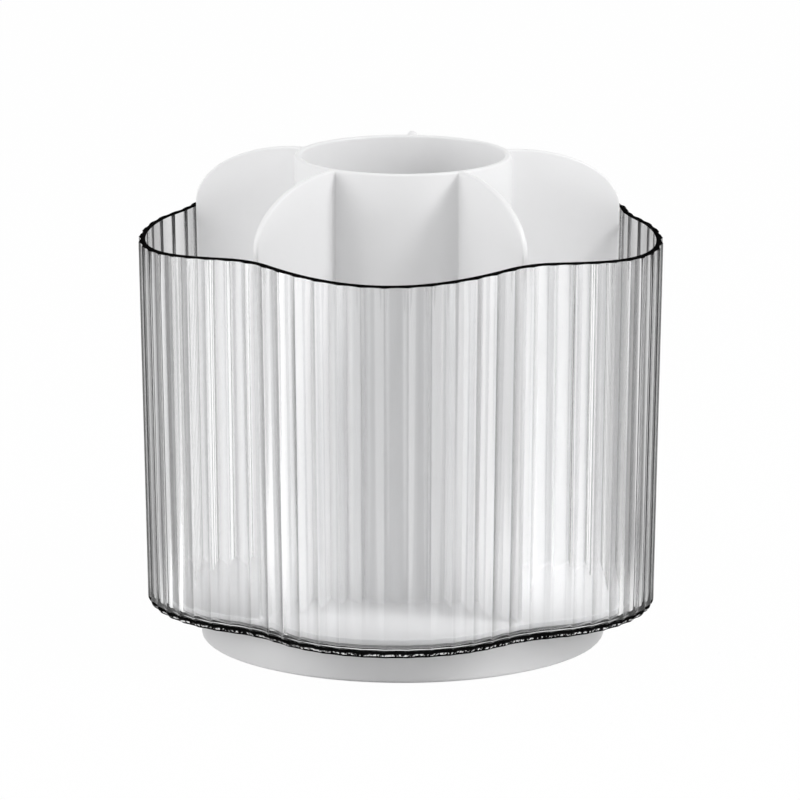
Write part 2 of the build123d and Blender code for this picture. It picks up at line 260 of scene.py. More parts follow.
def fill_flat(bm, outline, holes=()):
    """Triangles of a flat region with one outline and any holes in it."""
    whole_hull, tolerance = 0, 1e-9
    loops = [outline, *holes]
    verts = [vert for loop in loops for vert in loop]
    edges = []
    start = 0
    for loop in loops:
        edges += [(start + step, start + (step + 1) % len(loop)) for step in range(len(loop))]
        start += len(loop)
    flat = [vert.co.to_2d() for vert in verts]
    _, _, faces, origin, _, _ = delaunay_2d_cdt(flat, edges, [], whole_hull, tolerance)
    for face in faces:
        corners = [verts[origin[corner][0]] for corner in face]
        x = sum(vert.co.x for vert in corners) / 3
        y = sum(vert.co.y for vert in corners) / 3
        if inside_loop(x, y, outline) and not any(inside_loop(x, y, hole) for hole in holes):
            bm.faces.new(corners)


def finish_mesh(bm, name, sharp_turn):
    """Object from a closed mesh, smooth but for edges that turn more than sharp_turn."""
    bmesh.ops.recalc_face_normals(bm, faces=bm.faces)
    for face in bm.faces:
        face.smooth = True
    for edge in bm.edges:
        if len(edge.link_faces) != 2:
            raise RuntimeError(f"{name} is not closed")
        if edge.calc_face_angle(0) > sharp_turn:
            edge.smooth = False
    mesh = bpy.data.meshes.new(name)
    bm.to_mesh(mesh)
    bm.free()
    made = bpy.data.objects.new(name, mesh)
    bpy.context.scene.collection.objects.link(made)
    return made


# Places across one flute, as shares of its width, and where its curve turns into the soft ridge,
# as a share of its half width.
FLUTE_STATIONS = (0, 0.025, 0.06, 0.12, 0.22, 0.36, 0.5, 0.64, 0.78, 0.88, 0.94, 0.975)
RIDGE_SOFT = 0.9
# Steps up the cup's walls and round its edges, and points round a screw hole.
WALL_STEPS = 8
RIM_STEPS = 4
CORNER_STEPS = 12
INNER_CORNER_STEPS = 7
HOLE_POINTS = 32
CUP_SHARP = radians(35)
# The cup's finishes in the order of its materials, and that of each step of its lower corner from
# the bottom up. The dark finish is painted shade and the glint finish painted highlights on the clear
# plastic.
CLEAR, PAINTED_DARK, PAINTED_GLINTS = range(3)
CORNER_FINISH = 6 * (PAINTED_DARK,) + 2 * (PAINTED_GLINTS,) + 3 * (PAINTED_DARK,) + (CLEAR,)


def flute_share(station):
    """Depth of a flute as a share, with the ridge beside it a little rounded."""
    width = abs(2 * station - 1)
    if width < RIDGE_SOFT:
        return 1 - width**2
    past = width - RIDGE_SOFT
    return 1 - RIDGE_SOFT**2 - 2 * RIDGE_SOFT * (past - past**2 / (2 * (1 - RIDGE_SOFT)))


def cup_columns(cup):
    """Petal, share along it and flute depth for each upright line of the cup's wall."""
    columns = []
    for petal in range(PETALS):
        for flute in range(cup.flutes):
            for station in FLUTE_STATIONS:
                share = (flute + station) / cup.flutes
                depth = cup.flute_depth * flute_share(station)
                if share > 0.5:
                    columns.append((petal + 1, share - 1, depth))
                else:
                    columns.append((petal, share, depth))
    return columns


class CupWall:
    """Rows of vertices that the cup's wall is made of."""

    def __init__(self, bm, cup):
        self.bm = bm
        self.cup = cup
        self.plan = Plan(cup)
        self.columns = cup_columns(cup)
        self.rim_z = CUP_HIGH.z - cup.rim_wave

    def shift(self, z):
        """How much further in the leaning wall stands at a height than at the rim."""
        return (self.rim_z - z) * tan(self.cup.draft)

    def rim_height(self, x, y):
        """Height of the wavy rim above a point."""
        return self.rim_z - self.cup.rim_wave * cos(PETALS * (atan2(y, x) - FRONT))

    def outer_row(self, z, inset):
        """Row of the lower corner, in which the flutes fade out towards the bottom."""
        cup = self.cup
        points = []
        for petal, share, depth in self.columns:
            grow = cup.wall - self.shift(z) - inset - depth * (1 - (inset / cup.corner) ** 2)
            points.append((*self.plan.point(petal, share, grow), z))
        return add_loop(self.bm, points)

    def rim_row(self, outside, inset, drop):
        """Row of the rim's outer or inner edge."""
        cup = self.cup
        points = []
        for petal, share, depth in self.columns:
            grow = cup.wall - max(depth, cup.ridge_cut) - inset if outside else inset
            x, y = self.plan.point(petal, share, grow)
            height = self.rim_height(x, y) - drop
            grow -= self.shift(height)
            points.append((*self.plan.point(petal, share, grow), height))
        return add_loop(self.bm, points)

    def wall_rows(self, outside, start):
        """Rows between the corner's end and the rim, evenly spread at each column."""
        cup = self.cup
        rows = []
        under = cup.rim_round + (cup.rim_line if outside else 0)
        for step in range(1, WALL_STEPS + 1 if outside else WALL_STEPS):
            points = []
            for petal, share, depth in self.columns:
                grow = cup.wall - depth if outside else 0
                top = self.rim_height(*self.plan.point(petal, share, grow)) - under
                height = start + (top - start) * step / WALL_STEPS
                points.append((*self.plan.point(petal, share, grow - self.shift(height)), height))
            rows.append(add_loop(self.bm, points))
        return rows

    def inner_row(self, z, inset):
        """Row of the lower inner corner."""
        grow = -self.shift(z) - inset
        return add_loop(self.bm, [(*self.plan.point(p, s, grow), z) for p, s, _ in self.columns])


def screw_holes(bm, cup, floor_z):
    """Walls of the holes in the cup's floor; returns their lower and upper loops."""
    lower, upper = [], []
    angles = [step * 2 * pi / HOLE_POINTS for step in range(HOLE_POINTS)]
    for petal in range(PETALS):
        turn = FRONT + petal * PETAL_STEP
        x, y = cup.screw_circle * cos(turn), cup.screw_circle * sin(turn)
        for loops, height in ((lower, CUP_LOW.z), (upper, floor_z)):
            circle = at_angles(cup.screw_hole, angles, height)
            loops.append(add_loop(bm, [(x + across, y + along, z) for across, along, z in circle]))
        bridge(bm, lower[-1], upper[-1])
    return lower, upper


def cup_mesh(cup):
    """The clear cup: fluted outside, smooth inside, with a wavy rounded rim."""
    bm = bmesh.new()
    wall = CupWall(bm, cup)
    floor_z = CUP_LOW.z + cup.floor
    rows = [wall.outer_row(CUP_LOW.z + rise, inset) for rise, inset in rounding(cup.corner, CORNER_STEPS)]
    rows += wall.wall_rows(True, CUP_LOW.z + cup.corner)
    line_start = len(rows) - 1
    rows += [wall.rim_row(True, inset, drop) for inset, drop in rounding(cup.rim_round, RIM_STEPS)]
    rows += [wall.rim_row(False, inset, drop) for inset, drop in rounding(cup.rim_round, RIM_STEPS)[::-1]]
    line_end = len(rows) - 1
    rows += wall.wall_rows(False, floor_z + cup.inner_corner)[::-1]
    for rise, inset in rounding(cup.inner_corner, INNER_CORNER_STEPS)[::-1]:
        rows.append(wall.inner_row(floor_z + rise, inset))
    # The lower corner and the line round the rim get the painted dark and glint finishes.
    for place, (low, high) in enumerate(zip(rows, rows[1:])):
        if place < len(CORNER_FINISH):
            finish = CORNER_FINISH[place]
        else:
            finish = PAINTED_DARK if line_start <= place < line_end else CLEAR
        bridge(bm, low, high, finish)
    under_holes, floor_holes = screw_holes(bm, cup, floor_z)
    fill_flat(bm, rows[0], under_holes)
    fill_flat(bm, rows[-1], floor_holes)
    return finish_mesh(bm, "clear_cup", CUP_SHARP)


# Steps round the divider's edges, joins, swept corners, roots, lip, well and tube, and up its
# columns, and points along a petal of its floor.
END_STEPS = 4
JOIN_STEPS = 6
SWEEP_STEPS = 30
ROOT_STEPS = 6
LIP_STEPS = 6
WELL_STEPS = 6
TUBE_STEPS = 24
COLUMN_STEPS = 12
PETAL_POINTS = 36
DIVIDER_SHARP = radians(40)


class FinShape:
    """Outline of the divider's walls: a tube with one fin, which points along +X, and its joins."""

    def __init__(self, cup, divider):
        self.divider = divider
        self.plan = Plan(cup)
        self.top = DIVIDER_HIGH.z
        self.floor = DIVIDER_LOW.z + divider.floor
        self.foot = self.floor + divider.root_round
        self.half = divider.fin / 2
        self.high = self.top - divider.drop
        self.valley = self.plan.valley() - divider.fin_gap
        self.rim_z = CUP_HIGH.z - cup.rim_wave
        self.draft = tan(cup.draft)
        self.bore = divider.tube_radius - divider.tube_wall
        self.sweep = self.edge(self.high) - divider.tube_radius

    def edge(self, z):
        """Reach of the fin's upright outer edge at a height."""
        return self.valley - (self.rim_z - z) * self.draft

    def tube(self, z):
        """Outer radius of the tube at a height."""
        return self.divider.tube_radius + (self.top - z) * tan(self.divider.tube_draft)

    def heights(self, top):
        """Heights of a column's rows, from its foot to its top."""
        return [z for _, _, z in mix_points((0, 0, self.foot), (0, 0, top))]

    def join_round(self, z):
        """Radius of the join between tube and fin, which widens towards the floor."""
        share = max(0.0, 1 - (z - self.foot) / self.divider.join_spread)
        return self.divider.join_round + (self.divider.join_foot - self.divider.join_round) * share**2

    def join_centre(self, z):
        """Centre of the round join between tube and fin at a height."""
        across = self.half + self.join_round(z)
        return sqrt((self.tube(z) + self.join_round(z)) ** 2 - across**2), across

    def join_angle(self, z):
        """Direction in which the tube ends and the join begins."""
        x, y = self.join_centre(z)
        return atan2(y, x)

    def join_point(self, z, step, inset=0.0):
        """Point of the join and the way out of the plastic there; step 0 lies on the tube."""
        x, y = self.join_centre(z)
        start = self.join_angle(z) + pi
        angle = start + (1.5 * pi - start) * step / JOIN_STEPS
        away = cos(angle), sin(angle)
        reach = self.join_round(z) + inset
        return (x + reach * away[0], y + reach * away[1]), (-away[0], -away[1])

    def profile(self, angle):
        """Point of the swept corner and the way out of it, in the plane of the fin."""
        drop = self.divider.drop
        x = self.divider.tube_radius + self.sweep * sin(angle)
        z = self.high + drop * cos(angle)
        out_x, out_z = sin(angle) * drop, cos(angle) * self.sweep
        length = hypot(out_x, out_z)
        return x, z, out_x / length, out_z / length

    def rounded(self, x, z, out_x, out_z, angle):
        """Point of the rounding along the fin's edge: angle 0 lies on the fin's side."""
        small = self.divider.edge_round
        back = small * (1 - sin(angle))
        across = self.half - small * (1 - cos(angle))
        return x - out_x * back, across, z - out_z * back


def turned(point, direction, side):
    """A point beside the fin along +X, mirrored if side is -1, then turned to its direction."""
    x, y, z = point
    y *= side
    return x * cos(direction) - y * sin(direction), x * sin(direction) + y * cos(direction), z


class Column:
    """One upright line of the divider's wall, with its foot, its rows and its rounded top."""

    def __init__(self, bm, direction, side, foot, away, wall, top):
        self.foot = turned((*foot, 0), direction, side)
        self.away = turned((*away, 0), direction, side)
        self.wall = add_loop(bm, [turned(point, direction, side) for point in wall])
        self.top = [self.wall[-1]] + add_loop(bm, [turned(point, direction, side) for point in top[1:]])


def mix_points(low, high):
    """Points of a column, spread evenly from one to another, both included."""
    low, high = Vector(low), Vector(high)
    return [tuple(low.lerp(high, step / COLUMN_STEPS)) for step in range(COLUMN_STEPS + 1)]


def tube_column(bm, shape, angle):
    """Column on the tube itself."""
    small = shape.divider.edge_round
    wall = [(shape.tube(z), 0, z) for z in shape.heights(shape.top - small)]
    radius = shape.divider.tube_radius
    top = [(radius - inset, 0, shape.top - drop) for inset, drop in rounding(small, END_STEPS)]
    return Column(bm, angle, 1, (shape.tube(shape.foot), 0), (1, 0), wall, top)


def join_column(bm, shape, direction, side, step):
    """Column on the join between tube and fin."""
    small = shape.divider.edge_round
    foot, away = shape.join_point(shape.foot, step)
    wall = [(*shape.join_point(z, step)[0], z) for z in shape.heights(shape.top - small)]
    top = []
    for inset, drop in rounding(small, END_STEPS):
        top.append((*shape.join_point(shape.top, step, inset)[0], shape.top - drop))
    return Column(bm, direction, side, foot, away, wall, top)


def side_column(bm, shape, direction, side, step):
    """Column on the side of a fin, under the swept corner."""
    start = asin((shape.join_centre(shape.top)[0] - shape.divider.tube_radius) / shape.sweep)
    angle = start + (pi / 2 - start) * step / SWEEP_STEPS
    top = [shape.rounded(*shape.profile(angle), turn) for turn in arc_steps(END_STEPS)]
    first = shape.rounded(*shape.profile(start), 0)[0]
    last = shape.edge(shape.high) - shape.divider.edge_round
    share = (top[0][0] - first) / (last - first)
    near = shape.join_centre(shape.foot)[0]
    far = shape.edge(shape.foot) - shape.divider.edge_round
    foot = near + (far - near) * share, shape.half
    wall = []
    near_top = shape.join_centre(top[0][2])[0]
    for place, (x, y, z) in enumerate(mix_points((*foot, shape.foot), top[0])):
        even = near + (near_top - near) * place / COLUMN_STEPS
        wall.append((x + (shape.join_centre(z)[0] - even) * (1 - share), y, z))
    return Column(bm, direction, side, foot, (0, 1), wall, top)


def end_columns(bm, shape, direction, side, last):
    """Columns round the upright end of a fin; their tops are the end of the swept corner's."""
    columns = []
    heights = shape.heights(shape.high)[:-1]
    for place, turn in enumerate(arc_steps(END_STEPS)[1:], 1):
        wall = [shape.rounded(shape.edge(z), z, 1, 0, turn) for z in heights]
        column = Column(bm, direction, side, wall[0][:2], (sin(turn), cos(turn)), wall, wall[-1:])
        column.wall.append(last.top[place])
        columns.append(column)
    return columns


def wall_columns(bm, shape):
    """All columns of the divider's outer wall in order, and the columns of each fin and arc of tube."""
    ring, fins, arcs = [], [], []
    for fin in range(PETALS):
        direction = FRONT + HALF_STEP + fin * PETAL_STEP
        sides = {}
        for side in (-1, 1):
            joins = [join_column(bm, shape, direction, side, step) for step in range(JOIN_STEPS)]
            flanks = [side_column(bm, shape, direction, side, step) for step in range(SWEEP_STEPS + 1)]
            sides[side] = joins, flanks, end_columns(bm, shape, direction, side, flanks[-1])
        joins, flanks, ends = sides[-1]
        back_joins, back_flanks, back_ends = sides[1]
        angle = shape.join_angle(shape.foot)
        gap = (PETAL_STEP - 2 * angle) / TUBE_STEPS
        arc = [tube_column(bm, shape, direction + angle + gap * step) for step in range(1, TUBE_STEPS)]
        ring += joins + flanks + ends + back_ends[::-1] + back_flanks[::-1] + back_joins[::-1] + arc
        fins.append((joins, flanks, back_joins, back_flanks))
        arcs.append(arc)
    return ring, fins, arcs


def bridge_columns(bm, run, rows):
    """Faces between each two neighbouring columns of a run, along one of their rows of vertices."""
    for near, far in zip(run, run[1:]):
        a, b = getattr(near, rows), getattr(far, rows)
        for step in range(len(a) - 1):
            bm.faces.new((a[step], b[step], b[step + 1], a[step + 1]))


def add_roots(bm, shape, ring):
    """Rounding along the foot of the walls; returns its last row, which lies on the floor."""
    small = shape.divider.root_round
    before = [column.wall[0] for column in ring]
    for angle in arc_steps(ROOT_STEPS)[1:]:
        out, drop = small * (1 - cos(angle)), small * sin(angle)
        points = []
        for column in ring:
            x, y = (column.foot[axis] + column.away[axis] * out for axis in (0, 1))
            points.append((x, y, shape.foot - drop))
        row = add_loop(bm, points)
        bridge(bm, before, row)
        before = row
    return before


def close_tops(bm, shape, fins, arcs):
    """Tops of the fins and the tube; returns the vertices of the tube's inner lip."""
    radius = shape.bore + shape.divider.edge_round
    inner = []
    for fin, (joins, flanks, back_joins, back_flanks) in enumerate(fins):
        arc = [back_joins[0], *arcs[fin], fins[(fin + 1) % PETALS][0][0]]
        for run in (joins + flanks, back_joins + back_flanks, arc):
            bridge_columns(bm, run, "top")
        for step in range(SWEEP_STEPS):
            pairs = (flanks, step), (flanks, step + 1), (back_flanks, step + 1), (back_flanks, step)
            bm.faces.new([columns[place].top[-1] for columns, place in pairs])
        start, end = (bearing(column.top[-1]) for column in (joins[0], back_joins[0]))
        spread = (end - start) % (2 * pi)
        angles = [start + spread * step / LIP_STEPS for step in range(LIP_STEPS + 1)]
        across = add_loop(bm, at_angles(radius, angles, shape.top))
        outline = [column.top[-1] for column in joins + flanks[:1] + back_flanks[:1] + back_joins[::-1]]
        bmesh.ops.triangulate(bm, faces=[bm.faces.new(outline + across[::-1])])
        angles = [bearing(column.top[-1]) for column in arcs[fin]]
        inner.append((arc, across, add_loop(bm, at_angles(radius, angles, shape.top))))
    for fin, (arc, across, around) in enumerate(inner):
        row = [across[-1], *around, inner[(fin + 1) % PETALS][1][0]]
        for step in range(len(row) - 1):
            bm.faces.new((arc[step].top[-1], arc[step + 1].top[-1], row[step + 1], row[step]))
    return [vert for _, across, around in inner for vert in across + around]


def add_well(bm, shape, lip):
    """The tube's inside, from its lip down to the rounded floor of its well."""
    divider = shape.divider
    edge = divider.edge_round
    well = shape.floor + divider.well_round
    rows = [(shape.bore + inset, shape.top - drop) for inset, drop in rounding(edge, END_STEPS)[-2::-1]]
    for step in range(1, COLUMN_STEPS + 1):
        z = shape.top - edge + (well - shape.top + edge) * step / COLUMN_STEPS
        rows.append((shape.bore - (shape.top - z) * tan(divider.tube_draft), z))
    narrow = rows[-1][0]
    small = divider.well_round
    for angle in arc_steps(WELL_STEPS)[1:]:
        rows.append((narrow - small * (1 - cos(angle)), well - small * sin(angle)))
    angles = [bearing(vert) for vert in lip]
    before = lip
    for radius, z in rows:
        row = add_loop(bm, at_angles(radius, angles, z))
        bridge(bm, before, row)
        before = row
    fill_flat(bm, before)


def add_plate(bm, shape, root):
    """The divider's petal-shaped floor, with a rounded edge, round the foot of its walls."""
    low = DIVIDER_LOW.z
    grow = -(shape.rim_z - low) * shape.draft - shape.divider.edge_gap
    edge = rounding(shape.divider.floor_round, END_STEPS)
    rows = [(grow - inset, shape.floor - drop) for inset, drop in edge[::-1]]
    rows += [(grow - inset, low + rise) for inset, rise in edge]
    loops = []
    for out, z in rows:
        points = []
        for petal in range(PETALS):
            for step in range(PETAL_POINTS):
                points.append((*shape.plan.point(petal, step / PETAL_POINTS - 0.5, out), z))
        loops.append(add_loop(bm, points))
    for near, far in zip(loops, loops[1:]):
        bridge(bm, near, far)
    fill_flat(bm, loops[0], [root])
    fill_flat(bm, loops[-1])


def divider_mesh(cup, divider):
    """The white divider as one skin: floor, fins, tube and well, with rounded edges and roots."""
    shape = FinShape(cup, divider)
    bm = bmesh.new()
    ring, fins, arcs = wall_columns(bm, shape)
    bridge_columns(bm, ring + ring[:1], "wall")
    root = add_roots(bm, shape, ring)
    add_well(bm, shape, close_tops(bm, shape, fins, arcs))
    add_plate(bm, shape, root)
    return finish_mesh(bm, "white_divider", DIVIDER_SHARP)


class Nodes:
    """A node tree, with short ways to add what the finishes, the floor and the light are made of."""

    def __init__(self, owner, output="ShaderNodeOutputMaterial"):
        owner.use_nodes = True
        self.owner = owner
        self.tree = owner.node_tree
        self.tree.nodes.clear()
        self.output = self.add(output).inputs
        self.coordinates = self.add("ShaderNodeTexCoord").outputs

    def fill(self, socket, value):
        """Gives an input a link, a colour or another value."""
        if isinstance(value, bpy.types.NodeSocket):
            self.tree.links.new(value, socket)
        elif socket.type == "RGBA":
            socket.default_value = (*value, 1)
        else:
            socket.default_value = value

    def add(self, kind, inputs=None, **settings):
        """New node with these settings, and with values or links for its inputs."""
        node = self.tree.nodes.new(kind)
        for name, value in settings.items():
            setattr(node, name, value)
        for name, value in (inputs or {}).items():
            self.fill(node.inputs[name], value)
        return node

    def noise(self, scale, detail=2.0, stretch=(1, 1, 1)):
        """Value of an even noise, with scale in waves to a metre."""
        place = self.add("ShaderNodeMapping", {"Vector": self.coordinates["Object"], "Scale": stretch})
        inputs = {"Vector": place.outputs["Vector"], "Scale": scale, "Detail": detail}
        return self.add("ShaderNodeTexNoise", inputs).outputs["Fac"]

    def spread(self, value, low=0, high=1, start=0.3, end=0.7):
        """A value stretched from start and end to low and high, and held there beyond them."""
        limits = {"From Min": start, "From Max": end, "To Min": low, "To Max": high}
        return self.add("ShaderNodeMapRange", {"Value": value, **limits}).outputs["Result"]

    def grain(self, scale, detail=2.0, low=0, high=1):
        """A noise stretched to run from low to high."""
        return self.spread(self.noise(scale, detail), low, high)

    def math(self, operation, first, second):
        """Result of one operation on two values."""
        return self.add("ShaderNodeMath", {0: first, 1: second}, operation=operation).outputs[0]

    def mix(self, share, low, high):
        """Colour between two colours."""
        node = self.add("ShaderNodeMix", data_type="RGBA")
        for name, value in (("Factor", share), ("A", low), ("B", high)):
            self.fill(node.inputs[name], value)
        return next(output for output in node.outputs if output.type == "RGBA")

    def shades(self, share, colour, dark, light):
        """Colour between a darker and a lighter shade of one colour."""
        return self.mix(share, shade(colour, dark), shade(colour, light))

    def bump(self, height, depth):
        """Normal from a height, with its depth in metres."""
        inputs = {"Height": height, "Distance": depth, "Strength": 1.0}
        return self.add("ShaderNodeBump", inputs).outputs["Normal"]

    def surface(self, **values):
        """Principled shader on the output; the names of its inputs are given with underscores."""
        inputs = {name.replace("_", " "): value for name, value in values.items()}
        shader = self.add("ShaderNodeBsdfPrincipled", inputs).outputs["BSDF"]
        self.fill(self.output["Surface"], shader)
        return shader

    def mix_shaders(self, share, first, second):
        """Mix of two shaders on the output."""
        mixed = self.add("ShaderNodeMixShader", {0: share, 1: first, 2: second})
        self.fill(self.output["Surface"], mixed.outputs["Shader"])


def new_finish(name):
    """Node tree of a new material."""
    return Nodes(bpy.data.materials.new(name))


def shade(colour, factor):
    """A colour made lighter or darker."""
    return tuple(min(1.0, channel * factor) for channel in colour)


def grey(level):
    """A grey of this level."""
    return level, level, level


def clear_plastic(cup):
    """Clear polished plastic, which darkens along long ways through it, with a painted shade where it is
    seen at a slant.
    """
    nodes = new_finish("clear_plastic")
    facing = nodes.add("ShaderNodeLayerWeight").outputs["Facing"]
    slant = nodes.spread(facing, start=0.25, end=0.6)
    shader = nodes.surface(
        Base_Color=nodes.mix(slant, tuple(cup.tint), tuple(cup.painted_slant_shade)),
        Transmission_Weight=1.0,
        IOR=1.49,
        Roughness=nodes.grain(90, high=0.012),
    )
    passing = nodes.add("ShaderNodeBsdfTransparent", {"Color": tuple(cup.passed)}).outputs["BSDF"]
    shadow_ray = nodes.add("ShaderNodeLightPath").outputs["Is Shadow Ray"]
    nodes.mix_shaders(shadow_ray, shader, passing)
    volume = nodes.add("ShaderNodeVolumeAbsorption", {"Color": tuple(cup.taken), "Density": cup.smoke})
    nodes.fill(nodes.output["Volume"], volume.outputs["Volume"])
    return nodes.owner


def rim_black():
    """Polished black of the line that runs round the rim: painted shade, standing in for the dark look of
    the clear plastic's edge.
    """
    nodes = new_finish("rim_black")
    nodes.surface(
        Base_Color=nodes.mix(nodes.grain(300, detail=3), grey(0.002), grey(0.006)),
        Roughness=nodes.grain(700, low=0.3, high=0.45),
        Specular_IOR_Level=0.0,
    )
    return nodes.owner


def corner_glints():
    """Painted shade and highlights: black of the lower corner, broken by small painted glints."""
    nodes = new_finish("corner_glints")
    # Painted glints: a noise picks out the small bright specks in the black.
    specks = nodes.noise(1900, detail=1, stretch=(1, 1, 0.3))
    glints = nodes.spread(specks, start=0.5, end=0.6)
    nodes.surface(
        Base_Color=nodes.mix(glints, grey(0.004), grey(0.9)),
        Roughness=nodes.grain(700, low=0.2, high=0.4),
        Specular_IOR_Level=0.0,
    )
    return nodes.owner


def moulded_white(name, colour, rough, gloss):
    """Satin moulded plastic: faint flow marks in the colour and a very fine skin."""
    nodes = new_finish(name)
    flow = nodes.spread(nodes.noise(35, detail=4, stretch=(1, 1, 0.4)))
    nodes.surface(
        Base_Color=nodes.shades(flow, colour, dark=0.985, light=1.01),
        Roughness=nodes.grain(420, 3, *rough),
        Specular_IOR_Level=gloss,
        Normal=nodes.bump(nodes.noise(2600), depth=0.000004),
    )
    return nodes.owner


# How far the roughness of steel and nylon runs up from its lowest value.
ROUGH_RANGE = 0.12


def turned_steel(name, colour, rough):
    """Steel turned on a lathe, with rings about the turning axis."""
    nodes = new_finish(name)
    rings = nodes.add(
        "ShaderNodeTexWave",
        {"Scale": 900, "Distortion": 1.5, "Vector": nodes.coordinates["Object"]},
        wave_type="RINGS",
        rings_direction="Z",
    )
    nodes.surface(
        Base_Color=nodes.shades(nodes.grain(120, detail=4), colour, dark=0.92, light=1.05),
        Metallic=1.0,
        Roughness=nodes.grain(500, low=rough, high=rough + ROUGH_RANGE),
        Normal=nodes.bump(rings.outputs["Fac"], depth=0.000006),
    )
    return nodes.owner


def soft_rubber(name, colour):
    """Rubber with a fine even grain."""
    nodes = new_finish(name)
    skin = nodes.noise(1800, detail=4)
    nodes.surface(
        Base_Color=nodes.shades(nodes.grain(150, detail=3), colour, dark=0.85, light=1.2),
        Roughness=nodes.spread(skin, low=0.65, high=0.85),
        Normal=nodes.bump(skin, depth=0.00003),
    )
    return nodes.owner


def closed_foam(name, colour):
    """Foam with small closed cells."""
    nodes = new_finish(name)
    cells = nodes.add("ShaderNodeTexVoronoi", {"Scale": 1600, "Vector": nodes.coordinates["Object"]})
    cell = cells.outputs["Distance"]
    edge = nodes.spread(cell, start=0.1, end=0.8)
    nodes.surface(
        Base_Color=nodes.shades(edge, colour, dark=0.7, light=1.25),
        Roughness=nodes.spread(edge, low=0.75, high=0.95, start=0, end=1),
        Normal=nodes.bump(cell, depth=0.0001),
    )
    return nodes.owner


def natural_nylon(name, colour, rough):
    """Unfilled moulded nylon, slightly uneven in colour."""
    nodes = new_finish(name)
    nodes.surface(
        Base_Color=nodes.shades(nodes.grain(80, detail=4), colour, dark=0.94, light=1.03),
        Roughness=nodes.grain(700, low=rough, high=rough + ROUGH_RANGE),
        Normal=nodes.bump(nodes.noise(1500), depth=0.00001),
    )
    return nodes.owner


# Turn beyond which an edge of a CAD node stays sharp.
NODE_SHARP = radians(30)


def dress(material, *names):
    """Gives CAD nodes their material."""
    for name in names:
        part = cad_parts[name]
        part.data.materials.clear()
        part.data.materials.append(material)


def smooth_node(name):
    """Shades a CAD node smooth but for its sharp edges."""
    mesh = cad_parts[name].data
    mesh.shade_smooth()
    mesh.set_sharp_from_angle(angle=NODE_SHARP)


class OrganizerSettings(bpy.types.PropertyGroup):
    """All sizes and colours of the organizer and its stage."""

    cup: PointerProperty(type=CupSizes)
    divider: PointerProperty(type=DividerSizes)
    base: PointerProperty(type=BaseSizes)
    stage: PointerProperty(type=StageSizes)


class ORGANIZER_OT_clear_cup(bpy.types.Operator):
    """Builds the clear fluted cup over its CAD node"""

    bl_idname = "organizer.clear_cup"
    bl_label = "Clear cup"

    def execute(self, context):
        settings = context.scene.organizer
        cup = cup_mesh(settings.cup)
        for material in (clear_plastic(settings.cup), rim_black(), corner_glints()):
            cup.data.materials.append(material)
        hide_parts("cup")
        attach(cup, "turntable")
        return {"FINISHED"}


class ORGANIZER_OT_divider(bpy.types.Operator):
    """Builds the white divider over its CAD node, and finishes its pads"""

    bl_idname = "organizer.divider"
    bl_label = "Divider and pads"

    def execute(self, context):
        settings = context.scene.organizer
        divider = divider_mesh(settings.cup, settings.divider)
        colour = tuple(settings.divider.colour)
        white = moulded_white("divider_plastic", colour, rough=(0.3, 0.4), gloss=0.3)
        divider.data.materials.append(white)
        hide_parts("divider")
        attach(divider, "divider")
        pads = [f"divider_pad_{number}" for number in range(1, PETALS + 1)]
        dress(closed_foam("pad_foam", tuple(settings.divider.pad)), *pads)
        return {"FINISHED"}


class ORGANIZER_OT_base(bpy.types.Operator):
    """Finishes the base dish, its feet, the turntable and the gasket"""

    bl_idname = "organizer.base"
    bl_label = "Base and turntable"

    def execute(self, context):
        base = context.scene.organizer.base
        white = tuple(base.colour)
        dress(moulded_white("base_plastic", white, rough=(0.44, 0.56), gloss=0.1), "base_dish")
        dress(moulded_white("turntable_plastic", white, rough=(0.42, 0.55), gloss=0.3), "turntable")
        feet = [f"foot_{number}" for number in range(1, PETALS + 1)]
        dress(soft_rubber("foot_rubber", tuple(base.rubber)), "foot_centre", *feet)
        dress(closed_foam("gasket_foam", tuple(base.foam)), "gasket_ring")
        for name in ("base_dish", "turntable", "gasket_ring"):
            smooth_node(name)
        return {"FINISHED"}


class ORGANIZER_OT_bearing(bpy.types.Operator):
    """Finishes the ball bearing, the pivot and the screws"""

    bl_idname = "organizer.bearing"
    bl_label = "Bearing, pivot and screws"

    def execute(self, context):
        base = context.scene.organizer.base
        steel, nylon = tuple(base.steel), tuple(base.nylon)
        balls = [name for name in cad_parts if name.startswith("bearing_ball")]
        dress(turned_steel("race_steel", steel, rough=0.22), "lower_race", "upper_race")
        dress(turned_steel("pin_steel", shade(steel, 0.95), rough=0.28), "pivot_pin")
        dress(turned_steel("screw_steel", shade(steel, 1.02), rough=0.32), "cup_screws")
        dress(turned_steel("clip_steel", shade(steel, 0.6), rough=0.35), "retaining_clip")
        dress(turned_steel("ball_steel", shade(steel, 1.25), rough=0.06), *balls)
        dress(natural_nylon("cage_nylon", nylon, rough=0.4), "ball_cage")
        dress(natural_nylon("washer_nylon", shade(nylon, 1.05), rough=0.35), "thrust_washer")
        dress(natural_nylon("bush_acetal", tuple(base.bush), rough=0.3), "hub_bush")
        return {"FINISHED"}


class ORGANIZER_OT_stage(bpy.types.Operator):
    """Sets the floor, the light and the camera"""

    bl_idname = "organizer.stage"
    bl_label = "Stage"

    def execute(self, context):
        stage = context.scene.organizer.stage
        add_floor(stage)
        add_light(stage)
        add_camera(stage)
        context.scene.view_settings.view_transform = "Standard"
        return {"FINISHED"}


# Painted reflections: sectors of the floor, brighter or darker than white, that only gloss and clear
# plastic show: start and end as shares of the full turn that runs from -X by way of -Y, and
# brightness beside the floor's 1.
PAINTED_REFLECTIONS = (
    (0.015, 0.19, 3.5),
    (0.22, 0.31, 0.3),
    (0.35, 0.455, 3.9),
    (0.52, 0.57, 0.5),
    (0.935, 0.985, 0.7),
)
PAINTED_REFLECTION_EDGE = 0.015
